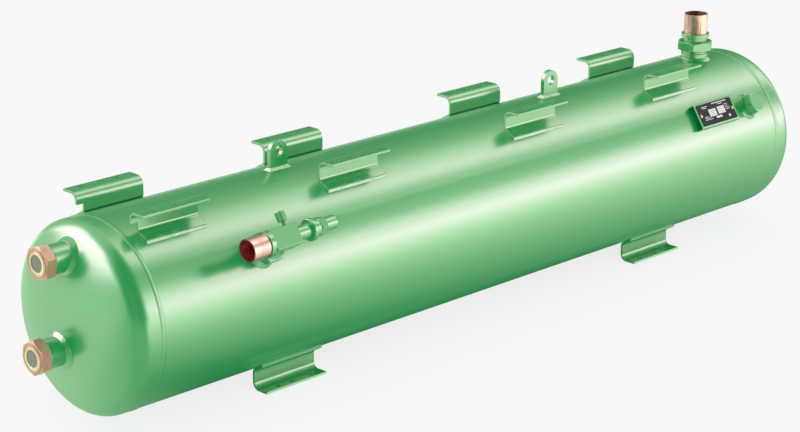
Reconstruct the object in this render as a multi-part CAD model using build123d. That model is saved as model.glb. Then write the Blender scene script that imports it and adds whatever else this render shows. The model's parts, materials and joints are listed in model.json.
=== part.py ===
# Horizontal liquid receiver: welded steel vessel with mounting rails, feet, lifting lugs,
# a screwed inlet connection, an outlet shut-off valve with dip tube, two sight glasses,
# a plugged relief connection and a nameplate on a bent holder.
#
# Millimetres. +X runs along the vessel from the sight-glass end to the inlet end, +Z is up and
# the valve is on the -Y side. The origin is the centre of the feet's bolt pattern, on the
# plane that the feet stand on.
import os
from math import asin, cos, degrees, radians, sin, sqrt, tan

from build123d import *

# Vessel
shell_diameter = 323.9      # standard steel tube
shell_wall = 5.6
shell_length = 1568.0       # from seam to seam
vessel_offset = -13.0       # middle between the seams, along X
head_wall = 6.0
head_flange = 21.0          # straight part of a dished head
crown_ratio = 1.0           # crown radius over diameter, shallow dished head
knuckle_ratio = 0.1         # knuckle radius over diameter
seam_width = 8.0
seam_root = 1.6
seam_crown = 0.8

# Rails and feet: one bent section, upside down for the feet
plate = 4.0                 # thickness of the bent plate
rail_rise = 21.05           # outer flange face above the shell's top line
web_inner = 67.5            # web's inner face from the middle plane
flange_edge = 102.5
saddle_edge = 91.0          # outer edge of the flange that lies on the shell
bend_inner = 10.0
saddle_bend = 6.0
bracket_length = 134.0
rail_gaps = (80.0, 476.5, 637.5, 246.5)    # from a rail's middle to the nearer seam
foot_gap = 311.0            # from half the feet's span to half the shell's length
hole_line = 92.0            # bolt holes from the middle plane
hole_diameter = 9.0
hole_steps = (-39.0, 5.0, 34.0)    # from a bracket's middle, the same way as for the first rail
notch_length = 14.0         # clears the seam weld at the first pair of rails
notch_rise = 1.05           # above the shell's top line
bracket_weld = 4.6          # along the shell
bracket_weld_height = 3.0

# Lifting lugs
lug_gaps = (379.0, 508.0)   # from a lug's middle to the nearer seam
lug_width = 38.0
lug_plate = 8.0
lug_eye_rise = 31.05        # eye above the shell's top line
lug_eye_diameter = 18.0
lug_weld = 5.0
weld_root = 2.0             # how far a weld's block starts below the surface

# Fits
thread_gap = 0.08           # radial, where a thread is drawn as a plain cylinder
slip_gap = 0.1              # radial, where one piece slips into another
seal = 2.0                  # thickness of a flat gasket
nut_shoulder = 3.5          # lip of a union nut over the flange that it holds
port_weld = 6.0             # leg of the weld round a sight glass or the outlet
small_weld = 3.0            # leg of the weld round the inlet and the relief boss
thread_chamfer = 1.0
flange_step = 0.5           # how much a union's flange is smaller than its thread
weld_overlap = 4.0          # how far its cone runs on inside the fitting and below the surface
hex_chamfer = 0.96          # turned face of a nut over its width across flats

# Inlet connection, on top
inlet_gap = 71.0            # from the right seam
inlet_tube = 42.0           # pipe that is brazed in
inlet_cup_wall = 2.0
inlet_cup_depth = 36.0
inlet_mouth = 90.0          # heights are from the shell's surface
inlet_collar = (43.5, 50.5)
inlet_collar_diameter = 54.7
inlet_neck_diameter = 47.6
inlet_tail_diameter = 41.0
inlet_tail_bore = 38.0
inlet_nut = (16.5, 35.0)
inlet_nut_flats = 65.0
inlet_thread = 57.15
inlet_nut_turn = 33.9
inlet_spigot_diameter = 50.0
inlet_ring_diameter = 54.0
inlet_ring_top = 11.0
inlet_cup_hold = 4.0        # how deep the stub's cup sits in the collar
inlet_tail_hold = 10.0      # how far the stub's tail goes on under the collar

# Outlet connection and shut-off valve, on the front, lengths along the valve's own axis
side_angle = 58.0           # from the top towards the front
outlet_gap = 219.0          # from the left seam
valve_turn = 2.0            # the valve is turned a little on its union
outlet_tube = 35.0
outlet_cup_wall = 2.0
outlet_cup_depth = 28.0
outlet_nut = (16.5, 34.5)
outlet_nut_flats = 52.0
outlet_thread = 44.45
outlet_spigot_diameter = 40.0
valve_height = 60.0         # valve axis from the shell's surface
valve_neck_diameter = 36.0
valve_block = (54.0, 35.0, 36.0)
valve_collar_diameter = 43.0
valve_collar_length = 9.0
valve_block_chamfer = 1.2
valve_mouth = 71.0          # from the union's axis to the copper stub's mouth
valve_tail_diameter = 31.0
valve_tail_bore = 28.0
valve_tail_depth = 12.0
valve_passage = 24.0        # bore from the stub to the seat
cup_slope = 4.0             # length of the cone between a stub's cup and its bore
seat_bore = 20.0
seat_place = (-10.0, -6.0)
chamber_bore = 27.0
inlet_way_bore = 24.0
bonnet_thread = 30.0
bonnet_start = 15.0
bonnet_neck_diameter = 24.0
bonnet_skirt_bore = 21.0
bonnet_skirt_end = 22.0
gland_nut = (59.0, 76.5)
gland_nut_diameter = 37.5
gland_shoulder = 66.0       # the nut's cone starts here
gland_cone = 4.0
gland_lip = 4.0
packing = (54.0, 69.0)
packing_diameter = 15.0
presser_overlap = 1.0       # the gland's nose presses the packing down by this much
spindle_diameter = 10.0
spindle_end = 109.0
spindle_square = 7.0
spindle_square_length = 10.0
disc_diameter = 24.0
disc_thickness = 5.0
cap_hex = (77.5, 91.0)
cap_hex_flats = 28.0
cap_hex_turn = 22.0
cap_end = 116.0
cap_diameter = 23.5
cap_chamfer = 1.5
cap_wall = 2.5
cap_thread = 14.0           # on the gland nut's nose
cap_thread_end = 4.0        # the nose ends this far before the hexagon's end
service_x = 18.6
service_pipe = 6.4
service_bore = 3.0
service_cap = (27.0, 43.0)
service_cap_diameter = 17.0
service_cap_flats = 15.6
service_cap_wall = 4.0      # its closed end
service_thread = 9.4
service_thread_start = 2.0  # from the cap's mouth

# Dip tube inside the vessel
dip_diameter = 33.7
dip_wall = 2.0
dip_seat = 10.0             # how far it sits in the outlet spigot
dip_drop_y = -20.0          # its upright leg
dip_bend = 60.0
dip_clearance = 14.0        # above the vessel's bottom

# Sight glasses, on the left head
sight_margin = 2.0          # between the upper sight glass's weld and the knuckle
sight_spacing = 152.0       # from the upper down to the lower one
sight_turns = (20.0, 30.0)  # of the hexagons
sight_standout = 54.0       # front face from the head's surface
sight_flats = 52.0
sight_hex_length = 21.0
sight_boss_diameter = 48.0
sight_thread = 38.0
sight_shank_length = 14.0
sight_bore = 25.0
sight_face_chamfer = 1.5
rim_diameter = 40.0
rim_setback = 0.6
glass_diameter = 29.0
glass_thickness = 9.0
glass_seat = 1.5
rim_depth = 12.0

# Relief connection
relief_gap = 73.0           # from the right seam
relief_boss_diameter = 42.0
relief_boss_height = 9.0
relief_flats = 38.0
relief_turn = 8.0
relief_hex_length = 17.0
relief_thread = 30.0
relief_shank_length = 16.0
inner_standout = 3.0        # how far a welded fitting reaches inside the wall
spigot_standout = 6.0       # how far a spigot does
core_reach = 40.0           # longer than any fitting's way through a wall and its weld

# Nameplate
holder_gap = 180.3          # from the right seam
holder_angle = 56.5
holder_size = (115.0, 50.0)
holder_sheet = 2.0
holder_height = 12.0
holder_bend = 3.0
nameplate_size = (105.0, 43.5)
nameplate_shift = 0.8       # up the holder's face
nameplate_sheet = 0.8
nameplate_corner = 2.5
rivet_place = 48.0
rivet_diameter = 3.2
rivet_head = (7.0, 1.6)

outer = shell_diameter / 2
inner = outer - shell_wall
rail_top = outer + rail_rise
axis_height = rail_top      # feet and rails are the same bent plate
seam_left = vessel_offset - shell_length / 2
seam_right = vessel_offset + shell_length / 2
rail_places = (
    seam_left + rail_gaps[0], seam_left + rail_gaps[1], seam_right - rail_gaps[2], seam_right - rail_gaps[3]
)
foot_span = shell_length - 2 * foot_gap
lug_places = (seam_left + lug_gaps[0], seam_right - lug_gaps[1])
inlet_x = seam_right - inlet_gap
outlet_x = seam_left + outlet_gap
relief_x = seam_right - relief_gap
holder_x = seam_right - holder_gap
saddle_angle = degrees(asin(saddle_edge / (outer + plate / 2)))


def turned(outline):
    """A turned piece about +Z, from (radius, height) corners."""
    return revolve(make_face(Plane.XZ * Polyline(*outline, close=True)), Axis.Z)


def tube(radius, bore, low, high):
    return turned([(bore, low), (radius, low), (radius, high), (bore, high)])


def rod(radius, low, high):
    return Pos(0, 0, (low + high) / 2) * Cylinder(radius, high - low)


def hexagon(flats, low, high, turn=0.0, both=True):
    """A hexagon bar along +Z with turned chamfers on its top, or on both ends."""
    corner = flats / sqrt(3)
    face = flats / 2 * hex_chamfer
    slope = (corner - face) * 0.5
    bar = extrude(Rot(0, 0, turn) * RegularPolygon(flats / 2, 6, major_radius=False), high - low)
    foot = [(face, 0), (corner, slope)] if both else [(corner, 0)]
    limit = turned([(0, 0), *foot, (corner, high - low - slope), (face, high - low), (0, high - low)])
    return Pos(0, 0, low) * (bar & limit)


def radial(x, angle, height=0.0):
    """Plane on the shell: local Z points outwards, local X along the vessel."""
    out = Vector(0, -sin(radians(angle)), cos(radians(angle)))
    return Plane(origin=Vector(x, 0, axis_height) + out * (outer + height), x_dir=(1, 0, 0), z_dir=out)


def vessel_cylinder(radius):
    """Solid along the vessel's axis that is longer than the vessel."""
    return Pos(vessel_offset, 0, axis_height) * Rot(0, 90, 0) * Cylinder(radius, shell_length * 1.5)


def along_vessel(piece):
    """Carries a piece turned about +Z onto the vessel's axis."""
    return Pos(0, 0, axis_height) * Rot(0, 90, 0) * piece


def dished(radius, crown, knuckle, flange):
    """Solid dished end about +Z: straight flange from 0, knuckle, crown."""
    reach = crown - knuckle
    side = radius - knuckle
    drop = sqrt(reach**2 - side**2)
    tip = flange - drop + crown
    join = Vector(side * crown / reach, flange - drop + drop * crown / reach)
    middle = asin(side / reach) / 2
    crown_mid = (crown * sin(middle), flange - drop + crown * cos(middle))
    turn = (asin(side / reach) + radians(90)) / 2
    knuckle_mid = (side + knuckle * sin(turn), flange + knuckle * cos(turn))
    outline = (
        Line((0, 0), (radius, 0))
        + Line((radius, 0), (radius, flange))
        + ThreePointArc((radius, flange), knuckle_mid, join)
        + ThreePointArc(join, crown_mid, (0, tip))
        + Line((0, tip), (0, 0))
    )
    return Rot(0, 0, 90) * revolve(make_face(Plane.XZ * outline), Axis.Z)


crown_radius = crown_ratio * shell_diameter
knuckle_radius = knuckle_ratio * shell_diameter
crown_edge = (outer - knuckle_radius) * crown_radius / (crown_radius - knuckle_radius)
sight_upper = crown_edge - sight_boss_diameter / 2 - port_weld - sight_margin
sight_places = tuple(zip((sight_upper, sight_upper - sight_spacing), sight_turns))
head_outside = dished(outer, crown_radius, knuckle_radius, head_flange)
head_inside = dished(outer - head_wall, crown_radius - head_wall, knuckle_radius - head_wall, head_flange)
head = head_outside - head_inside
left_head_outside = Pos(seam_left, 0, axis_height) * Rot(0, -90, 0) * head_outside


def head_surface(height):
    """How far the left head's crown lies beyond its seam, at a height from the axis."""
    drop = sqrt((crown_radius - knuckle_radius) ** 2 - (outer - knuckle_radius) ** 2)
    return head_flange - drop + sqrt(crown_radius**2 - height**2)


def seam_weld(x):
    """Weld in the V groove between shell and head, with its low crown."""
    half, root = seam_width / 2, seam_root / 2
    outline = (
        Line((inner, -root), (outer, -half))
        + ThreePointArc((outer, -half), (outer + seam_crown, 0), (outer, half))
        + Line((outer, half), (inner, root))
        + Line((inner, root), (inner, -root))
    )
    return Pos(x, 0, 0) * along_vessel(revolve(make_face(Plane.XZ * outline), Axis.Z))


def bracket_section():
    """Section of a rail in Y and Z from the vessel axis: flange, web and a saddle on the shell."""
    ring = Circle(outer + plate) - Circle(outer)
    far = 2 * shell_diameter
    wedge = make_face(
        Polyline((0, 0), (0, far), (far * sin(radians(saddle_angle)), far * cos(radians(saddle_angle))), close=True)
    )
    beyond_web = Pos(web_inner + far / 2, 0) * Rectangle(far, 2 * far)
    saddle = ring & wedge & beyond_web
    foot_of_web = sqrt(outer**2 - web_inner**2)
    web = Pos(web_inner + plate / 2, (foot_of_web + rail_top) / 2) * Rectangle(plate, rail_top - foot_of_web)
    width = flange_edge - web_inner
    flange = Pos(web_inner + width / 2, rail_top - plate / 2) * Rectangle(width, plate)
    section = flange + web + saddle - Circle(outer)
    inner_foot = (web_inner + plate, sqrt((outer + plate) ** 2 - (web_inner + plate) ** 2))
    for corner, radius in (
        ((web_inner + plate, rail_top - plate), bend_inner),
        ((web_inner, rail_top), bend_inner + plate),
        (inner_foot, saddle_bend),
        ((web_inner, foot_of_web), saddle_bend + plate),
    ):
        section = fillet(section.vertices().sort_by_distance((*corner, 0))[0], radius)
    return section


def bracket_weld_section():
    """Fillet along the saddle's outer edge."""
    lean = radians(saddle_angle)
    run = bracket_weld / outer
    deep = outer - plate
    high = outer + bracket_weld_height
    corners = [
        (deep * sin(lean), deep * cos(lean)),
        (high * sin(lean), high * cos(lean)),
        (outer * sin(lean + run), outer * cos(lean + run)),
    ]
    return make_face(Polyline(*corners, close=True)) - Circle(outer)


bracket_bar = extrude(Plane.YZ * bracket_section(), bracket_length)
weld_bar = extrude(Plane.YZ * bracket_weld_section(), bracket_length)


def placed(bar, x, front, under):
    """Sets a bar along X, centred on x, on the front or rear side, above or under the vessel."""
    piece = Pos(x - bracket_length / 2, 0, 0) * bar
    if front:
        piece = mirror(piece, Plane.XZ)
    if under:
        piece = mirror(piece, Plane.XY)
    return Pos(0, 0, axis_height) * piece


def bolt_holes(x, side, face, mirrored):
    """Drills for the holes of one bracket, through the flange at a height from the floor."""
    way = -1 if mirrored else 1
    drill = Cylinder(hole_diameter / 2, 3 * plate)
    return [Pos(x + way * step, side * hole_line, face) * drill for step in hole_steps]


def rail(place, front):
    """The left half of the rails and the right feet share one hole pattern, the others its mirror image."""
    side = -1 if front else 1
    x = rail_places[place]
    piece = placed(bracket_bar, x, front, False)
    for drill in bolt_holes(x, side, axis_height + rail_top, place >= len(rail_places) / 2):
        piece -= drill
    if place == 0:
        end = x - bracket_length / 2
        low = axis_height + notch_rise
        piece -= Pos(end, side * flange_edge, low) * Box(2 * notch_length, 2 * flange_edge, 2 * outer)
    return piece


def foot(left, front):
    side = -1 if front else 1
    x = (-1 if left else 1) * foot_span / 2
    piece = placed(bracket_bar, x, front, True)
    for drill in bolt_holes(x, side, axis_height - rail_top, left):
        piece -= drill
    return piece


def bracket_weld_at(place, front):
    piece = placed(weld_bar, rail_places[place], front, False)
    if place == 0:
        end = rail_places[0] - bracket_length / 2
        piece -= Pos(end, 0, axis_height) * Box(2 * notch_length, 4 * outer, 4 * outer)
    return piece


def lug(x):
    eye = axis_height + outer + lug_eye_rise
    base = axis_height + outer - plate
    sheet = Pos(x, 0, (base + eye) / 2) * Box(lug_width, lug_plate, eye - base)
    round_top = Pos(x, 0, eye) * Rot(90, 0, 0) * Cylinder(lug_width / 2, lug_plate)
    hole = Pos(x, 0, eye) * Rot(90, 0, 0) * Cylinder(lug_eye_diameter / 2, 2 * lug_plate)
    return sheet + round_top - hole - vessel_cylinder(outer)


def lug_bead(x):
    """Weld all round the foot of a lug."""
    height = lug_weld + weld_root
    block = extrude(Rectangle(lug_width + 2 * height, lug_plate + 2 * height), height, taper=45)
    hollow = Box(lug_width, lug_plate, 4 * height)
    return Pos(x, 0, axis_height + outer - weld_root) * (block - hollow) - vessel_cylinder(outer)


def port_bead(place, diameter, leg, fitting, carrier):
    """Weld round a fitting: a cone on the surface's normal, cut by the fitting and by what carries it."""
    height = leg + 2 * weld_overlap
    low, high = diameter / 2 + leg + weld_overlap, diameter / 2 - weld_overlap
    cone = Pos(0, 0, leg / 2) * Cone(low, high, height)
    return place * cone - fitting - carrier


def core(place, diameter):
    """The space that a welded fitting takes up in the wall and in its weld."""
    return place * rod(diameter / 2, -core_reach, core_reach)


inlet_place = radial(inlet_x, 0.0)
outlet_place = radial(outlet_x, side_angle).location * Rot(0, 0, valve_turn)
relief_place = radial(relief_x, side_angle)
through_wall = shell_wall + inner_standout
spigot_reach = shell_wall + spigot_standout


def spigot(diameter, thread, bore, nut, ring=None, counterbore=None):
    """Welded threaded spigot: neck through the wall, thread in the nut, and a seat for the gasket."""
    low, below = -spigot_reach, -weld_root
    top = (nut[0] + nut[1]) / 2
    neck_top = nut[0] - flange_step
    face = thread / 2 - thread_chamfer
    outline = [(bore / 2, low), (diameter / 2, low)]
    if ring:
        outline += [(diameter / 2, below), (ring[0] / 2, below), (ring[0] / 2, ring[1]), (diameter / 2, ring[1])]
    outline += [(diameter / 2, neck_top), (face, neck_top), (thread / 2, neck_top + thread_chamfer)]
    outline += [(thread / 2, top - thread_chamfer), (face, top), (bore / 2, top)]
    piece = turned(outline)
    if counterbore:
        piece -= rod(counterbore / 2, low - dip_seat, low + dip_seat)
    return piece, top


def union_nut(flats, nut, thread, neck, flange_top, turn):
    """Hexagon nut with an inner thread and a lip over the flange."""
    piece = hexagon(flats, nut[0], nut[1], turn)
    piece -= rod(thread / 2 + thread_gap, 0, flange_top)
    return piece - rod(neck / 2 + slip_gap, 0, 2 * nut[1])


def inlet_pieces():
    body, top = spigot(
        inlet_spigot_diameter, inlet_thread, inlet_tail_bore, inlet_nut, (inlet_ring_diameter, inlet_ring_top)
    )
    flange = (top + seal, inlet_nut[1] - nut_shoulder)
    flange_radius = inlet_thread / 2 - flange_step
    neck = inlet_neck_diameter / 2
    collar = inlet_collar_diameter / 2
    cup = inlet_tube / 2 + slip_gap / 2
    cup_outside = cup + inlet_cup_wall
    tail = inlet_tail_diameter / 2
    bore = inlet_tail_bore / 2
    cup_floor = inlet_mouth - inlet_cup_depth
    cup_end = inlet_collar[1] - inlet_cup_hold
    tail_end = inlet_collar[0] - inlet_tail_hold
    tailpiece = turned([
        (bore, flange[0]), (flange_radius, flange[0]), (flange_radius, flange[1]), (neck, flange[1]),
        (neck, inlet_collar[0]), (collar, inlet_collar[0]), (collar, inlet_collar[1]),
        (cup_outside + slip_gap, inlet_collar[1]), (cup_outside + slip_gap, cup_end),
        (tail + slip_gap, cup_end), (tail + slip_gap, tail_end), (bore, tail_end),
    ])
    stub = turned([
        (bore, tail_end), (tail, tail_end), (tail, cup_end), (cup_outside, cup_end),
        (cup_outside, inlet_mouth), (cup, inlet_mouth), (cup, cup_floor), (bore, cup_floor - cup_slope),
    ])
    return {
        "inlet_spigot": body,
        "inlet_gasket": tube(flange_radius, bore, top, top + seal),
        "inlet_tailpiece": tailpiece,
        "inlet_union_nut": union_nut(
            inlet_nut_flats, inlet_nut, inlet_thread, inlet_neck_diameter, flange[1], inlet_nut_turn
        ),
        "inlet_copper_stub": stub,
    }


def lying(piece):
    """Lays a piece turned about +Z along local X at the valve's axis height."""
    return Pos(0, 0, valve_height) * Rot(0, 90, 0) * piece


def outlet_pieces():
    body, top = spigot(
        outlet_spigot_diameter, outlet_thread, dip_diameter - 2 * dip_wall, outlet_nut,
        counterbore=dip_diameter + 2 * slip_gap,
    )
    flange = (top + seal, outlet_nut[1] - nut_shoulder)
    flange_radius = outlet_thread / 2 - flange_step
    half = valve_block[0] / 2
    block_low = valve_height - valve_block[2] / 2
    way = inlet_way_bore / 2
    cup = (outlet_tube + slip_gap) / 2
    cup_outside = cup + outlet_cup_wall
    collar_end = -half - valve_collar_length
    tail, tail_end = valve_tail_diameter / 2, -half + valve_tail_depth
    stem = spindle_diameter / 2
    pack = packing_diameter / 2
    neck = bonnet_neck_diameter / 2
    neck_end = gland_nut[1] - gland_lip
    service_up = Pos(service_x, 0, valve_height) * Rot(-90, 0, 0)
    service_drill = service_up * rod(service_bore / 2, 0, half)

    block = Pos(0, 0, valve_height) * Box(*valve_block)
    block = chamfer(block.edges().filter_by(Axis.X), valve_block_chamfer)
    valve = block + tube(flange_radius, way, *flange) + tube(valve_neck_diameter / 2, way, flange[1], block_low)
    valve += lying(rod(valve_collar_diameter / 2, collar_end, -half))
    valve -= rod(way, 0, valve_height)
    valve -= lying(rod(cup_outside + slip_gap, collar_end, -half))
    valve -= lying(rod(tail + slip_gap, -half, tail_end))
    valve -= lying(rod(valve_passage / 2, -half, seat_place[0]))
    valve -= lying(rod(seat_bore / 2, -half, half))
    valve -= lying(rod(chamber_bore / 2, seat_place[1], half))
    valve -= lying(rod(bonnet_thread / 2 + thread_gap, bonnet_start, half))
    valve -= service_drill

    stub = lying(turned([
        (cup_outside, -valve_mouth), (cup_outside, -half), (tail, -half), (tail, tail_end),
        (valve_tail_bore / 2, tail_end), (valve_tail_bore / 2, -valve_mouth + outlet_cup_depth + cup_slope),
        (cup, -valve_mouth + outlet_cup_depth), (cup, -valve_mouth),
    ]))
    bonnet = lying(turned([
        (bonnet_skirt_bore / 2, bonnet_start), (bonnet_thread / 2, bonnet_start), (bonnet_thread / 2, half),
        (neck, half), (neck, neck_end), (pack, neck_end), (pack, packing[0]), (stem + slip_gap, packing[0]),
        (stem + slip_gap, bonnet_skirt_end), (bonnet_skirt_bore / 2, bonnet_skirt_end),
    ]))
    presser = packing[1] - presser_overlap
    nut, nose = gland_nut_diameter / 2, cap_thread / 2
    gland = lying(turned([
        (stem + slip_gap, presser), (pack - slip_gap, presser), (pack - slip_gap, neck_end),
        (neck + thread_gap, neck_end), (neck + thread_gap, gland_nut[0]),
        (nut - thread_chamfer, gland_nut[0]), (nut, gland_nut[0] + thread_chamfer),
        (nut, gland_shoulder), (nut - gland_cone, gland_shoulder + gland_cone), (nut - gland_cone, gland_nut[1]),
        (nose, gland_nut[1]), (nose, cap_hex[1] - cap_thread_end), (stem + slip_gap, cap_hex[1] - cap_thread_end),
    ]))
    spindle = lying(
        rod(disc_diameter / 2, 0, disc_thickness)
        + rod(stem, disc_thickness, spindle_end - spindle_square_length)
        + Pos(0, 0, spindle_end - spindle_square_length / 2)
        * Box(spindle_square, spindle_square, spindle_square_length)
    )
    cap = cap_diameter / 2
    seal_cap = hexagon(cap_hex_flats, cap_hex[0], cap_hex[1], turn=cap_hex_turn)
    seal_cap += turned([
        (0, cap_hex[1]), (cap, cap_hex[1]), (cap, cap_end - cap_chamfer), (cap - cap_chamfer, cap_end), (0, cap_end),
    ])
    seal_cap -= rod(nose + thread_gap, cap_hex[0], cap_hex[1])
    seal_cap = lying(seal_cap - rod(cap - cap_wall, cap_hex[1] - cap_thread_end, cap_end - cap_wall))

    pipe, thread = service_pipe / 2, service_thread / 2
    thread_low, thread_high = service_cap[0] + service_thread_start, service_cap[1] - service_cap_wall
    fitting = tube(pipe, service_bore / 2, valve_block[1] / 2, thread_low)
    fitting += tube(thread, service_bore / 2, thread_low, thread_high)
    service = hexagon(service_cap_flats, *service_cap) & rod(service_cap_diameter / 2, *service_cap)
    service -= rod(thread + thread_gap, service_cap[0], thread_high)
    return {
        "outlet_spigot": body,
        "outlet_gasket": tube(flange_radius, way, top, top + seal),
        "outlet_union_nut": union_nut(
            outlet_nut_flats, outlet_nut, outlet_thread, valve_neck_diameter, flange[1], 0.0
        ),
        "valve_body": valve,
        "outlet_copper_stub": stub,
        "valve_bonnet": bonnet - service_drill,
        "valve_packing": lying(tube(pack, stem + slip_gap, packing[0], presser)),
        "valve_gland_nut": gland,
        "valve_spindle": spindle,
        "valve_cap_gasket": lying(tube(cap_hex_flats / 2 - flange_step, nose + thread_gap, gland_nut[1], cap_hex[0])),
        "valve_seal_cap": seal_cap,
        "service_fitting": service_up * fitting,
        "service_cap": service_up * service,
    }


def dip_tube():
    """Bent tube from the outlet spigot down to the vessel's bottom."""
    low = dip_seat - spigot_reach
    start = radial(outlet_x, side_angle).origin + radial(outlet_x, side_angle).z_dir * low
    slope = cos(radians(side_angle)) / sin(radians(side_angle))
    corner = Vector(outlet_x, dip_drop_y, axis_height - dip_drop_y * slope)
    end = Vector(outlet_x, dip_drop_y, axis_height - inner + dip_clearance)
    path = FilletPolyline(start, corner, end, radius=dip_bend)
    ring = Circle(dip_diameter / 2) - Circle(dip_diameter / 2 - dip_wall)
    return sweep(Plane(start, z_dir=corner - start) * ring, path)


def sight_foot(height):
    """Where a sight glass leaves the head: local Z along its axis, outwards, and local Y upwards."""
    x = seam_left - head_surface(height)
    return Plane(origin=(x, 0, axis_height + height), x_dir=(0, -1, 0), z_dir=(-1, 0, 0)).location


def sight_pieces(label, height, turn):
    place = sight_foot(height) * Pos(0, 0, sight_standout)
    rim, glass, bore = rim_diameter / 2, glass_diameter / 2, sight_bore / 2
    back = -sight_hex_length
    boss_top = back - seal
    lean = height / crown_radius
    slant = sight_boss_diameter / 2 * tan(asin(abs(lean)))
    boss_low = -sight_standout - head_wall / cos(asin(lean)) - slant - inner_standout
    thread = sight_thread / 2
    face = -sight_face_chamfer
    body = hexagon(sight_flats, back, face, turn)
    body += rod(sight_flats / 2 * hex_chamfer + face, face, 0) + rod(thread, boss_top - sight_shank_length, back)
    body -= rod(rim + slip_gap, -rim_depth, 0) + rod(bore, boss_top - sight_shank_length, 0)
    seat = glass_seat - rim_depth
    ring = tube(rim, glass, -rim_depth, -rim_setback) + tube(glass, bore, -rim_depth, seat)
    pieces = {
        "boss": tube(sight_boss_diameter / 2, thread + thread_gap, boss_low, boss_top),
        "gasket": tube(sight_boss_diameter / 2 - flange_step, thread + thread_gap, boss_top, back),
        "body": body,
        "rim": ring,
        "glass": rod(glass, seat, seat + glass_thickness),
    }
    return {f"sight_{part}_{label}": place * piece for part, piece in pieces.items()}


def relief_pieces():
    boss, thread = relief_boss_diameter / 2, relief_thread / 2
    top = relief_boss_height
    head_low = top + seal
    plug = hexagon(relief_flats, head_low, head_low + relief_hex_length, relief_turn, both=False)
    plug += rod(thread, head_low - relief_shank_length, head_low)
    return {
        "relief_boss": tube(boss, thread + thread_gap, -through_wall, top),
        "relief_gasket": tube(relief_flats / 2 * hex_chamfer, thread + thread_gap, top, head_low),
        "relief_plug": plug,
    }


def nameplate_pieces():
    """Bent holder with open ends, welded to the shell, with the plate riveted on."""
    place = radial(holder_x, holder_angle, holder_height)
    length, width = holder_size
    deep = 2 * holder_height
    section = Rectangle(width, 2 * deep) - Pos(0, -holder_sheet) * Rectangle(width - 2 * holder_sheet, 2 * deep)
    section = Pos(0, -deep) * section
    for side in (-1, 1):
        section = fillet(section.vertices().sort_by_distance((side * width / 2, 0, 0))[0], holder_bend)
    channel = extrude(Plane.YZ * section, length / 2, both=True)
    holder = place * channel - vessel_cylinder(outer)
    plate_solid = Pos(0, nameplate_shift, nameplate_sheet / 2) * Box(*nameplate_size, nameplate_sheet)
    plate_solid = fillet(plate_solid.edges().filter_by(Axis.Z), nameplate_corner)
    radius, rise = rivet_head[0] / 2, rivet_head[1]
    ball = (radius**2 + rise**2) / (2 * rise)
    dome = Pos(0, 0, nameplate_sheet + rise - ball) * Sphere(ball)
    dome &= rod(2 * radius, nameplate_sheet, nameplate_sheet + rise)
    rivet = dome + rod(rivet_diameter / 2, -holder_sheet - nameplate_sheet, nameplate_sheet)
    drill = rod(rivet_diameter / 2, -deep / 2, 2 * nameplate_sheet)
    rivets = []
    for x in (-rivet_place, rivet_place):
        holder -= place * Pos(x, 0, 0) * drill
        plate_solid -= Pos(x, 0, 0) * drill
        rivets.append(place * Pos(x, 0, 0) * rivet)
    return {
        "nameplate_holder": holder,
        "nameplate": place * plate_solid,
        "nameplate_rivets": Compound(children=rivets),
    }


def group(solids):
    return Compound(children=list(solids))


parts = {}
seams = {"left": seam_weld(seam_left), "right": seam_weld(seam_right)}
parts["seam_weld_left"] = seams["left"]
parts["seam_weld_right"] = seams["right"]

for label, piece in inlet_pieces().items():
    parts[label] = inlet_place * piece
for label, piece in outlet_pieces().items():
    parts[label] = outlet_place * piece
for label, piece in relief_pieces().items():
    parts[label] = relief_place * piece
parts["dip_tube"] = dip_tube()
for label, (height, turn) in zip(("upper", "lower"), sight_places):
    parts.update(sight_pieces(label, height, turn))
parts.update(nameplate_pieces())

outlet_core = core(outlet_place, outlet_spigot_diameter)
relief_core = core(relief_place, relief_boss_diameter)
sight_cores = [core(sight_foot(height), sight_boss_diameter) for height, _ in sight_places]

shell = along_vessel(tube(outer, inner, seam_left, seam_right))
inlet_core = core(inlet_place, inlet_spigot_diameter)
for cut in (inlet_core, outlet_core, relief_core, parts["inlet_spigot"], *seams.values()):
    shell -= cut
parts["shell_tube"] = shell

left_head = Pos(seam_left, 0, axis_height) * Rot(0, -90, 0) * head - seams["left"]
for sight_core in sight_cores:
    left_head -= sight_core
parts["head_left"] = left_head
parts["head_right"] = Pos(seam_right, 0, axis_height) * Rot(0, 90, 0) * head - seams["right"]

vessel_outside = vessel_cylinder(outer)
port_beads = [
    port_bead(
        inlet_place, inlet_ring_diameter, small_weld, core(inlet_place, inlet_ring_diameter), vessel_outside
    ),
    port_bead(outlet_place, outlet_spigot_diameter, port_weld, outlet_core, vessel_outside),
    port_bead(relief_place, relief_boss_diameter, small_weld, relief_core, vessel_outside),
]
for (height, _), sight_core in zip(sight_places, sight_cores):
    lean = degrees(asin(height / crown_radius))
    bead_place = sight_foot(height) * Rot(-lean, 0, 0)
    port_beads.append(port_bead(bead_place, sight_boss_diameter, port_weld, sight_core, left_head_outside))
parts["port_welds"] = group(port_beads)

for place in range(len(rail_places)):
    parts[f"rail_front_{place + 1}"] = rail(place, True)
    parts[f"rail_rear_{place + 1}"] = rail(place, False)
for side, left in (("left", True), ("right", False)):
    parts[f"foot_front_{side}"] = foot(left, True)
    parts[f"foot_rear_{side}"] = foot(left, False)
parts["rail_welds"] = group(
    bracket_weld_at(place, front) for place in range(len(rail_places)) for front in (True, False)
)
parts["foot_welds"] = group(
    placed(weld_bar, x, front, True) for x in (-foot_span / 2, foot_span / 2) for front in (True, False)
)
parts["lifting_lug_left"] = lug(lug_places[0])
parts["lifting_lug_right"] = lug(lug_places[1])
parts["lug_welds"] = group(lug_bead(x) for x in lug_places)

os.makedirs("parts", exist_ok=True)
for label, piece in parts.items():
    export_step(piece, f"parts/{label}.step")
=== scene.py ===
import json
from math import radians

import bmesh
import bpy
from mathutils import Matrix, Vector


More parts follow.
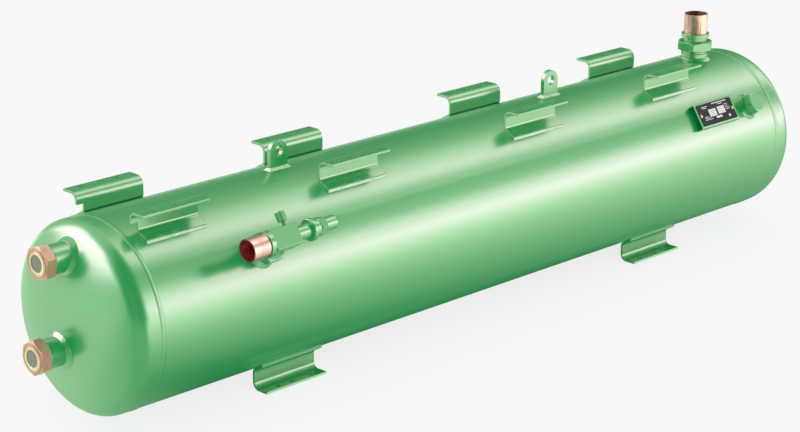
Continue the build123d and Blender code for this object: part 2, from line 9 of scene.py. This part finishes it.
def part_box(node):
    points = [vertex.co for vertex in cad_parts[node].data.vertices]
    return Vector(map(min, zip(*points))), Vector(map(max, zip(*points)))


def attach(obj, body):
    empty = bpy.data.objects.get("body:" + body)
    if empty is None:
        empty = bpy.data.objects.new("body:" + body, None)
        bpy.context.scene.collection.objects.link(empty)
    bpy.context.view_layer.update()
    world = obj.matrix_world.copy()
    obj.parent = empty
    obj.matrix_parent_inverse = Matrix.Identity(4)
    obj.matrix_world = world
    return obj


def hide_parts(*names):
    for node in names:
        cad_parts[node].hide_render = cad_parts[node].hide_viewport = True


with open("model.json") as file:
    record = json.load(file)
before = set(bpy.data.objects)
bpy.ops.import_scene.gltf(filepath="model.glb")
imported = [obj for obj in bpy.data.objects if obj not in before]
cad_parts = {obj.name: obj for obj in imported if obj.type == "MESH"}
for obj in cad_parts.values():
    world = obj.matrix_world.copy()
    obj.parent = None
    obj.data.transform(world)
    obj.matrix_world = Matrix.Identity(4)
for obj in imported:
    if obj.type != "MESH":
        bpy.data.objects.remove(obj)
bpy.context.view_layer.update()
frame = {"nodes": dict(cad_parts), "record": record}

nodes = frame["nodes"]
print("frame loaded:", len(nodes), "nodes")


def middleOf(name):
    low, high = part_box(name)
    return (low + high) / 2


axisZ = middleOf("shell_tube").z    # height of the vessel's axis


# A value in a node tree that takes part in Python expressions
class Wire:
    def __init__(self, shader, socket):
        self.shader, self.socket = shader, socket

    def math(self, operation, *others):
        return self.shader.add("Math", {"operation": operation}, dict(enumerate([self, *others])))

    def flipped(self, operation, other):
        return self.shader.add("Math", {"operation": operation}, {0: other, 1: self})

    def __add__(self, other):
        return self.math("ADD", other)

    def __sub__(self, other):
        return self.math("SUBTRACT", other)

    def __mul__(self, other):
        return self.math("MULTIPLY", other)

    def __truediv__(self, other):
        return self.math("DIVIDE", other)

    def __rsub__(self, other):
        return self.flipped("SUBTRACT", other)

    def __rtruediv__(self, other):
        return self.flipped("DIVIDE", other)

    def __gt__(self, other):
        return self.math("GREATER_THAN", other)

    def __lt__(self, other):
        return self.math("LESS_THAN", other)

    def __abs__(self):
        return self.math("ABSOLUTE")

    __radd__ = __add__
    __rmul__ = __mul__


# A material or world tree, with one way to add a node: settings first, then values or links
class Shader:
    def __init__(self, owner):
        owner.use_nodes = True
        self.owner, self.tree = owner, owner.node_tree
        self.tree.nodes.clear()

    def add(self, kind, settings=None, values=None, output=0):
        node = self.tree.nodes.new("ShaderNode" + kind)
        for key, value in (settings or {}).items():
            if key == "stops":
                while len(node.color_ramp.elements) < len(value):
                    node.color_ramp.elements.new(0.5)
                for element, (place, level) in zip(node.color_ramp.elements, value):
                    element.position, element.color = place, (level, level, level, 1)
            elif key == "blend":
                node.color_ramp.interpolation = value
            else:
                setattr(node, key, value)
        for key, value in (values or {}).items():
            socket = node.inputs[key]
            if isinstance(value, Wire):
                self.tree.links.new(value.socket, socket)
            elif socket.type == "RGBA":
                socket.default_value = (*value[:3], 1)
            else:
                socket.default_value = value
        return Wire(self, node.outputs[output]) if len(node.outputs) > 0 else None

    def place(self):
        return self.add("TexCoord", output="Object")

    def noise(self, place, scale, detail=2.0, roughness=0.5):
        values = {"Vector": place, "Scale": scale, "Detail": detail, "Roughness": roughness}
        return self.add("TexNoise", {}, values)

    def split(self, place):
        return [self.add("SeparateXYZ", {}, {0: place}, output=i) for i in range(3)]

    def vector(self, operation, *values, output="Vector"):
        return self.add("VectorMath", {"operation": operation}, dict(enumerate(values)), output=output)

    def dot(self, place, direction):
        return self.vector("DOT_PRODUCT", place, tuple(direction), output="Value")

    def range(self, value, low, high, toLow=0.0, toHigh=1.0):
        values = {"Value": value, "From Min": low, "From Max": high, "To Min": toLow, "To Max": toHigh}
        return self.add("MapRange", {"interpolation_type": "SMOOTHSTEP"}, values)

    def mix(self, factor, a, b):
        return self.add("Mix", {"data_type": "RGBA"}, {0: factor, 6: a, 7: b}, output=2)

    def bump(self, height, distance, normal):
        return self.add("Bump", {}, {"Height": height, "Distance": distance, "Normal": normal})

    def softEdge(self, radius):
        return self.add("Bevel", {"samples": 6}, {"Radius": radius})

    def output(self, surface, kind="Material"):
        self.add("Output" + kind, {}, {"Surface": surface})

    def finish(self, values):
        self.output(self.add("BsdfPrincipled", {}, values))
        return self.owner


def material(name):
    return Shader(bpy.data.materials.new(name))


# A value that a noise moves by half the spread to either side
def around(value, spread, noise):
    return noise * spread + (value - spread / 2)


# Green enamel with a pale flake in it: a deep green body mixed with a little soft metal
paint = {
    "body": (0.004, 0.350, 0.085),
    "deep": (0.003, 0.305, 0.072),
    "bodyRoughness": 0.4,
    "bodyShine": 0.1,
    "flake": (0.95, 0.92, 0.80),
    "flakeShare": 0.20,
    "flakeRoughness": 0.25,
    "cloud": {"scale": 3.5, "detail": 3.0, "levels": (0.35, 0.65), "share": 0.3},
    "speck": {"scale": 90.0, "share": 0.12, "roughness": 0.06, "flake": 0.03},
    "peel": {"scale": 260.0, "detail": 1.0, "depth": 0.00003},
    "edge": 0.0009,
}


def greenPaint(name, ripple=None):
    cloud, speck, peel = paint["cloud"], paint["speck"], paint["peel"]
    s = material(name)
    place = s.place()
    specks = s.noise(place, speck["scale"])
    normal = s.softEdge(paint["edge"])
    if ripple is not None:
        height, depth = ripple(s, place)
        normal = s.bump(height, depth, normal)
    normal = s.bump(s.noise(place, peel["scale"], peel["detail"]), peel["depth"], normal)
    clouds = s.range(s.noise(place, cloud["scale"], cloud["detail"]), *cloud["levels"])
    body = s.add("BsdfPrincipled", {}, {
        "Base Color": s.mix(clouds * cloud["share"] + specks * speck["share"], paint["body"], paint["deep"]),
        "Roughness": paint["bodyRoughness"],
        "Specular IOR Level": paint["bodyShine"],
        "Normal": normal,
    })
    flake = s.add("BsdfPrincipled", {}, {
        "Base Color": paint["flake"],
        "Metallic": 1.0,
        "Roughness": around(paint["flakeRoughness"], speck["roughness"], specks),
        "Normal": normal,
    })
    share = around(paint["flakeShare"], speck["flake"], specks)
    s.output(s.add("MixShader", {}, {0: share, 1: body, 2: flake}))
    return s.owner


# Ripples of the welds: round the vessel on its seams, uneven on the small fillets
welds = {
    "seam": {
        "waves": 420.0, "height": 0.5, "sway": 5.0, "swayScale": 40.0, "grainScale": 160.0, "depth": 0.00012,
    },
    "fillet": {"scale": 170.0, "depth": 0.0006},
}


def seamRipple(s, place):
    seam = welds["seam"]
    y, z = s.split(place)[1:]
    turn = (z - axisZ).math("ARCTAN2", y)
    wave = (turn * seam["waves"] + s.noise(place, seam["swayScale"]) * seam["sway"]).math("SINE")
    return wave * seam["height"] + s.noise(place, seam["grainScale"]), seam["depth"]


def filletRipple(s, place):
    return s.noise(place, welds["fillet"]["scale"]), welds["fillet"]["depth"]


# Copper stubs, drawn along the pipe, with brown oxide in streaks, and a bore whose colour is painted light:
# raised to stand in for light that the shaded inside of the pipe doesn't get
copper = {
    # Each stub's bore colour is painted light, lighter than the shaded inside of the pipe would show
    "inlet_copper_stub": {
        "axis": (0.0, 0.0, 1.0), "bore": 0.0205, "grooves": [],
        "bright": (0.63, 0.405, 0.355), "brown": (0.25, 0.120, 0.080), "inside": (1.00, 0.66, 0.48),
        "stain": (0.54, 0.66), "stainShare": 0.80, "roughness": 0.32,
    },
    "outlet_copper_stub": {
        "axis": (-0.99939, -0.01849, -0.02960), "bore": 0.0172, "grooves": [0.0115],
        "bright": (0.77, 0.455, 0.405), "brown": (0.42, 0.19, 0.145), "inside": (0.80, 0.085, 0.14),
        "stain": (0.50, 0.80), "stainShare": 0.60, "roughness": 0.24,
    },
}
copperFinish = {
    "streak": {"scale": 60.0, "detail": 4.0, "roughness": 0.65, "drawn": 0.08, "share": 0.7, "height": 0.25},
    "cloud": {"scale": 22.0, "detail": 3.0, "share": 0.5},
    # the groove's share is how far its colour is darkened as painted shade
    "groove": {"half": 0.0008, "share": 0.7},
    "stainRoughness": 0.14,
    "insideRoughness": 0.3,
    "insideDull": 0.75,
    "depth": 0.00015,
    "edge": 0.0004,
}


def copperMaterial(name):
    pipe = copper[name]
    streak, cloud, groove = copperFinish["streak"], copperFinish["cloud"], copperFinish["groove"]
    axis, middle = Vector(pipe["axis"]), middleOf(name)
    s = material(name.replace("_", "") + "Finish")
    place = s.place()
    along = s.dot(place, axis) - axis.dot(middle)
    back = s.add("VectorMath", {"operation": "SCALE"}, {0: tuple(axis), "Scale": along * -1.0})
    across = s.vector("ADD", s.vector("SUBTRACT", place, tuple(middle)), back)
    drawn = s.vector("ADD", across, s.vector("MULTIPLY", back, (-streak["drawn"],) * 3))
    streaks = s.noise(drawn, streak["scale"], streak["detail"], streak["roughness"])
    clouds = s.noise(place, cloud["scale"], cloud["detail"])
    stain = s.range(streaks * streak["share"] + clouds * cloud["share"], *pipe["stain"])
    # The bore: its colour carries the painted light, and it is also duller and rougher
    inside = s.vector("LENGTH", across, output="Value") < pipe["bore"]
    skin = s.mix(stain * pipe["stainShare"], pipe["bright"], pipe["brown"])
    height = streaks * streak["height"]
    # Each groove is a real dent in the bump, and its colour is darkened towards brown as painted shade
    for middleOfGroove in pipe["grooves"]:
        grooveAndShade = s.range(abs(along - middleOfGroove), 0.0, groove["half"], 1.0, 0.0)
        skin = s.mix(grooveAndShade * groove["share"], skin, pipe["brown"])
        height = height - grooveAndShade
    return s.finish({
        "Base Color": s.mix(inside, skin, pipe["inside"]),
        "Metallic": 1.0 - inside * copperFinish["insideDull"],
        "Roughness": (stain * copperFinish["stainRoughness"] + pipe["roughness"]
                      + inside * copperFinish["insideRoughness"]),
        "Normal": s.bump(height, copperFinish["depth"], s.softEdge(copperFinish["edge"])),
    })


# Brass of the sight glasses, their bright rims, and the nameplate's rivets
brass = {
    "sight": {
        "light": (0.57, 0.355, 0.225), "dull": (0.49, 0.30, 0.19),
        "metal": 0.45, "roughness": 0.45, "turned": 0.0,
    },
    "rim": {
        "light": (0.76, 0.68, 0.42), "dull": (0.64, 0.50, 0.28),
        "metal": 0.6, "roughness": 0.38, "turned": 0.35,
    },
    "rivet": {
        "light": (0.80, 0.55, 0.38), "dull": (0.62, 0.38, 0.25),
        "metal": 0.9, "roughness": 0.35, "turned": 0.0,
    },
}
brassFinish = {
    "cloud": {"scale": 45.0, "detail": 3.0, "levels": (0.4, 0.62), "roughness": 0.12},
    "grain": {"scale": 700.0, "height": 0.3},
    "rings": 9000.0,    # turning marks, in radians per metre
    "depth": 0.00003,
    "edge": 0.0007,
}


def brassMaterial(name, kind, centreZ=0.0):
    finish, cloud, grain = brass[kind], brassFinish["cloud"], brassFinish["grain"]
    s = material(name)
    place = s.place()
    clouds = s.noise(place, cloud["scale"], cloud["detail"])
    height = s.noise(place, grain["scale"]) * grain["height"]
    if finish["turned"] > 0.0:
        y, z = s.split(place)[1:]
        radius = (y * y + (z - centreZ) * (z - centreZ)).math("SQRT")
        height = height + (radius * brassFinish["rings"]).math("SINE") * finish["turned"]
    return s.finish({
        "Base Color": s.mix(s.range(clouds, *cloud["levels"]), finish["light"], finish["dull"]),
        "Metallic": finish["metal"],
        "Roughness": around(finish["roughness"], cloud["roughness"], clouds),
        "Normal": s.bump(height, brassFinish["depth"], s.softEdge(brassFinish["edge"])),
    })


glass = {
    "pale": (0.19, 0.225, 0.155),
    "deep": (0.15, 0.18, 0.12),
    "cloudScale": 40.0,
    "roughness": 0.12,
    "clear": 0.2,
    "shine": {"weight": 0.4, "roughness": 0.05},
}


def glassMaterial():
    s = material("sightGlass")
    clouds = s.noise(s.place(), glass["cloudScale"])
    return s.finish({
        "Base Color": s.mix(clouds, glass["deep"], glass["pale"]),
        "Roughness": glass["roughness"],
        "Transmission Weight": glass["clear"],
        "Coat Weight": glass["shine"]["weight"],
        "Coat Roughness": glass["shine"]["roughness"],
    })


steel = {
    "dark": (0.50, 0.50, 0.49),
    "light": (0.62, 0.62, 0.60),
    "cloud": {"scale": 30.0, "detail": 3.0, "roughness": 0.15},
    "grainScale": 500.0,
    "roughness": 0.325,
    "depth": 0.00003,
    "edge": 0.0004,
}


def steelMaterial():
    s = material("machinedSteel")
    place = s.place()
    clouds = s.noise(place, steel["cloud"]["scale"], steel["cloud"]["detail"])
    grain = s.noise(place, steel["grainScale"])
    return s.finish({
        "Base Color": s.mix(clouds, steel["dark"], steel["light"]),
        "Metallic": 1.0,
        "Roughness": around(steel["roughness"], steel["cloud"]["roughness"], clouds),
        "Normal": s.bump(grain, steel["depth"], s.softEdge(steel["edge"])),
    })


gasket = {
    "dark": (0.50, 0.58, 0.48),
    "light": (0.66, 0.70, 0.62),
    "fibre": {"scale": 400.0, "detail": 3.0, "roughness": 0.2},
    "roughness": 0.7,
    "depth": 0.00008,
    "edge": 0.0003,
}


def gasketMaterial():
    s = material("gasketFibre")
    fibres = s.noise(s.place(), gasket["fibre"]["scale"], gasket["fibre"]["detail"])
    return s.finish({
        "Base Color": s.mix(fibres, gasket["dark"], gasket["light"]),
        "Roughness": around(gasket["roughness"], gasket["fibre"]["roughness"], fibres),
        "Normal": s.bump(fibres, gasket["depth"], s.softEdge(gasket["edge"])),
    })


# Nameplate: a black face with plain white bars, in millimetres from its middle (right, up, wide, high)
plate = {
    "black": (0.006, 0.006, 0.007),
    "white": (0.86, 0.86, 0.86),
    "blocks": [(-12.0, 0.5, 22.0, 15.0), (15.0, 1.5, 22.0, 15.0), (2.0, -10.5, 18.0, 4.5)],
    "row": 3.0,    # height of a row in a block, and the share of it that is a black line
    "gap": 0.14,
    "dot": (32.7, -13.5, 2.9),
    "bars": [
        (-34.0, -5.0, 10.0, 1.0), (-32.0, -8.0, 16.0, 1.0), (-29.0, -11.0, 24.0, 1.0),
        (33.0, 10.5, 10.0, 1.0), (34.0, 7.0, 8.0, 1.0), (34.5, 3.5, 12.0, 1.0), (35.0, 0.0, 14.0, 1.0),
        (16.0, 18.0, 45.0, 1.7), (17.0, 14.3, 15.0, 1.1), (-31.0, 15.5, 18.0, 1.2), (-31.0, 12.5, 12.0, 1.2),
    ],
    "printHeight": 0.4,
    "grain": {"scale": 900.0, "roughness": 0.1, "height": 0.1},
    "roughness": 0.47,
    "shine": 0.25,
    "depth": 0.00005,
    "edge": 0.0003,
}
millimetres = 1000.0    # in a metre


def nameplateMaterial():
    s = material("nameplatePrint")
    place = s.place()
    middle = middleOf("nameplate")
    out = Vector((0, middle.y, middle.z - axisZ)).normalized()
    up = Vector((0, -out.z, out.y)) if out.y > 0 else Vector((0, out.z, -out.y))
    u = (s.dot(place, (1, 0, 0)) - middle.x) * millimetres
    v = (s.dot(place, up) - up.dot(middle)) * millimetres

    def field(x, y, width, height):
        return (abs(u - x) < width / 2) * (abs(v - y) < height / 2)

    x, y, radius = plate["dot"]
    mask = ((u - x) * (u - x) + (v - y) * (v - y)).math("SQRT") < radius
    for bar in plate["bars"]:
        mask = mask.math("MAXIMUM", field(*bar))
    lines = (v / plate["row"]).math("FRACT") > plate["gap"]
    for block in plate["blocks"]:
        mask = mask.math("MAXIMUM", field(*block) * lines)
    grain = s.noise(place, plate["grain"]["scale"])
    height = mask * plate["printHeight"] + grain * plate["grain"]["height"]
    return s.finish({
        "Base Color": s.mix(mask, plate["black"], plate["white"]),
        "Roughness": around(plate["roughness"], plate["grain"]["roughness"], grain),
        "Specular IOR Level": plate["shine"],
        "Normal": s.bump(height, plate["depth"], s.softEdge(plate["edge"])),
    })


slotFinish = {
    "green_paint": greenPaint("greenPaint"),
    "gasket": gasketMaterial(),
    "sight_glass": glassMaterial(),
    "bare_steel": steelMaterial(),
    "plate_black": nameplateMaterial(),
    "rivet": brassMaterial("copperRivet", "rivet"),
}
nodeFinish = {name: copperMaterial(name) for name in copper}
seamPaint, filletPaint = greenPaint("seamPaint", seamRipple), greenPaint("weldPaint", filletRipple)
for name in ("seam_weld_left", "seam_weld_right"):
    nodeFinish[name] = seamPaint
for name in ("port_welds", "rail_welds", "foot_welds", "lug_welds"):
    nodeFinish[name] = filletPaint
nodeFinish["relief_gasket"] = slotFinish["green_paint"]    # painted over with the vessel
for level in ("upper", "lower"):
    rim = "sight_rim_" + level
    nodeFinish["sight_body_" + level] = brassMaterial("sightBrass_" + level, "sight")
    nodeFinish[rim] = brassMaterial("sightRim_" + level, "rim", middleOf(rim).z)

slots = {row["node"]: row["material_slot"] for row in frame["record"]["subparts"]}
for name, node in nodes.items():
    node.data.materials.clear()
    node.data.materials.append(nodeFinish.get(name) or slotFinish[slots[name]])
print("finishes given to", len(nodes), "nodes")

# Dished heads, as one welded surface whose crown shades evenly through its middle
heads = {"nodes": ("head_left", "head_right"), "weld": 0.00001, "sharp": 25.0}


def makeHead(name):
    bm = bmesh.new()
    bm.from_mesh(nodes[name].data)
    bmesh.ops.remove_doubles(bm, verts=bm.verts, dist=heads["weld"])
    mesh = bpy.data.meshes.new(name + "_dish")
    bm.to_mesh(mesh)
    bm.free()
    if "custom_normal" in mesh.attributes:
        mesh.attributes.remove(mesh.attributes["custom_normal"])
    mesh.shade_smooth()
    mesh.set_sharp_from_angle(angle=radians(heads["sharp"]))
    mesh.materials.clear()
    mesh.materials.append(slotFinish["green_paint"])
    head = bpy.data.objects.new(name + "_dish", mesh)
    bpy.context.scene.collection.objects.link(head)
    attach(head, "root")
    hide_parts(name)


for name in heads["nodes"]:
    makeHead(name)
print("heads made")


# Studio: pale floor, an even room, and long soft lights that show only in reflections
studio = {
    "floorSize": 14.0,
    "floorColour": (0.85, 0.85, 0.85),
    "floorGlow": 0.80,    # share of plain white in the floor that the camera sees
    "floorBounce": 0.70,    # and the share in the floor that lights the underside
    "floorNear": {"reach": 0.13, "level": 2.2},    # the floor's glow on the feet
    "floorMirror": {"far": 3.4, "half": 0.5, "start": 0.09, "tilt": 0.08},
    "floorLeft": {"along": (-0.90, -0.60), "front": 0.35, "rear": 1.35, "across": (-0.20, 0.10)},
    "floorRear": {"along": (0.0, 0.4), "less": 0.45},
    "backdrop": 0.96,
    "room": 0.78,
    "turnLevels": [    # degrees from the top towards the front, and the level seen there
        (-105, 1.2), (-90, 0.40), (-65, 0.18), (-45, 0.36), (-25, 0.76), (-5, 2.1), (12, 3.7), (33, 0.7),
        (52, 1.0), (66, 3.4), (78, 5.2), (92, 3.4), (110, 2.0), (130, 1.2),
    ],
    "highest": 6.0,
    "faint": (1.00, 1.12, 0.94),    # tints of faint and of strong reflections
    "strong": (1.00, 0.80, 1.00),
    "tintLevels": (1.2, 4.2),
    "endFade": (0.0, 0.75),    # the long lights end towards the left
    "endLevel": {"front": 0.06, "rear": 1.0, "across": (-0.25, 0.15)},
    "leftBox": {
        "rise": (0.12, 0.26), "top": (0.66, 0.86), "turn": (3.0, 18.0), "far": (66.0, 90.0), "strength": 4.8,
    },
}
lamp = {"place": (-5.5, -5.2, 2.8), "size": 3.0, "power": 150.0, "target": (0.0, 0.0, 0.2)}
fullTurn = 360.0


def makeLamp():
    light = bpy.data.lights.new("lamp", "AREA")
    light.size, light.energy = lamp["size"], lamp["power"]
    holder = bpy.data.objects.new("lamp", light)
    holder.visible_glossy = False
    bpy.context.scene.collection.objects.link(holder)
    way = Vector(lamp["target"]) - Vector(lamp["place"])
    turned = way.to_track_quat("-Z", "Y").to_matrix().to_4x4()
    holder.matrix_world = Matrix.Translation(lamp["place"]) @ turned


def rayIs(s, *kinds):
    found = s.add("LightPath", output=kinds[0])
    for kind in kinds[1:]:
        found = found.math("MAXIMUM", s.add("LightPath", output=kind))
    return found


# A turn of -180 to 180 degrees, as 0 to 1
def turnShare(degrees):
    return degrees / fullTurn + 0.5


def makeFloor():
    mesh = bpy.data.meshes.new("floor")
    bm = bmesh.new()
    bmesh.ops.create_grid(bm, x_segments=1, y_segments=1, size=studio["floorSize"])
    bm.to_mesh(mesh)
    bm.free()
    floor = bpy.data.objects.new("floor", mesh)
    bpy.context.scene.collection.objects.link(floor)
    s = material("floorWhite")
    x, y = s.split(s.place())[:2]
    mirror, left = studio["floorMirror"], studio["floorLeft"]
    rear, near = studio["floorRear"], studio["floorNear"]
    # In reflections the floor glows at levels of its own: dimmer near the vessel as a painted shadow,
    # brighter further out
    away = (abs(y) + x * mirror["tilt"] - mirror["start"]).math("MAXIMUM", 0.0)
    level = away * mirror["far"] / (abs(y) + mirror["half"])
    level = level * (1.0 - s.range(x, *rear["along"]) * (y > 0.0) * rear["less"])
    atLeft = s.range(x, *left["along"], 1.0, 0.0)
    mirrored = level * (1.0 - atLeft) + s.range(y, *left["across"], left["front"], left["rear"]) * atLeft
    footLow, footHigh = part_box("foot_rear_left")
    glowOnFeet = s.range(s.add("LightPath", output="Ray Length"), 0.0, near["reach"], near["level"], 0.0)
    mirrored = mirrored + glowOnFeet * (abs(y) > footHigh.y) * (x > footLow.x)
    mirrorRay = rayIs(s, "Is Glossy Ray", "Is Transmission Ray")
    seen = rayIs(s, "Is Camera Ray").math("MAXIMUM", mirrorRay)
    plain = s.add("BsdfDiffuse", {}, {"Color": studio["floorColour"]})
    glow = s.add("Emission", {}, {
        "Color": s.mix(mirrorRay, (1, 1, 1), studio["faint"]),
        "Strength": 1.0 - mirrorRay * (1.0 - mirrored),
    })
    share = seen * (studio["floorGlow"] - studio["floorBounce"]) + studio["floorBounce"]
    s.output(s.add("MixShader", {}, {0: share, 1: plain, 2: glow}))
    mesh.materials.append(s.owner)


def makeWorld():
    world = bpy.data.worlds.new("studioRoom")
    bpy.context.scene.world = world
    s = Shader(world)
    x, y, z = s.split(s.add("TexCoord", output="Generated"))
    turn = turnShare((y * -1.0).math("ARCTAN2", z).math("DEGREES"))
    stops = [(turnShare(degrees), level / studio["highest"]) for degrees, level in studio["turnLevels"]]
    levels = s.add("ValToRGB", {"blend": "EASE", "stops": stops}, {0: turn}) * studio["highest"]
    ends = s.range(x, *studio["endFade"])
    end, box = studio["endLevel"], studio["leftBox"]
    side = y.math("ARCTAN2", x * -1.0).math("DEGREES")
    lit = s.range(z, *box["rise"]) * s.range(z, *box["top"], 1.0, 0.0)
    lit = lit * s.range(side, *box["turn"]) * s.range(side, *box["far"], 1.0, 0.0)
    endLevel = s.range(y, *end["across"], end["front"], end["rear"])
    mirrored = levels * ends + endLevel * (1.0 - ends) + lit * box["strength"]
    camera = rayIs(s, "Is Camera Ray")
    mirror = rayIs(s, "Is Glossy Ray", "Is Transmission Ray")
    other = mirror * mirrored + (1.0 - mirror) * studio["room"]
    shown = camera * studio["backdrop"] + (1.0 - camera) * other
    tint = s.mix(s.range(mirrored, *studio["tintLevels"]), studio["faint"], studio["strong"])
    s.output(s.add("Background", {}, {"Color": s.mix(mirror, (1, 1, 1), tint), "Strength": shown}), "World")


makeFloor()
makeWorld()
makeLamp()
print("studio lit")

# Camera: the photograph's place and lens
view = {
    "place": (-2.7902, -2.7196, 1.4183),
    "right": (0.71463, -0.69950, -0.00108),
    "up": (0.21474, 0.21792, 0.95205),
    "back": (-0.66572, -0.68060, 0.30594),
    "lens": 100.6,
    "sensor": 36.0,
}
camera = bpy.data.cameras.new("camera")
camera.sensor_width, camera.lens = view["sensor"], view["lens"]
cameraObject = bpy.data.objects.new("camera", camera)
bpy.context.scene.collection.objects.link(cameraObject)
turned = Matrix((view["right"], view["up"], view["back"])).transposed()
cameraObject.matrix_world = Matrix.Translation(view["place"]) @ turned.to_4x4()
bpy.context.scene.camera = cameraObject

bpy.context.scene.view_settings.view_transform = "Standard"
print("scene ready")
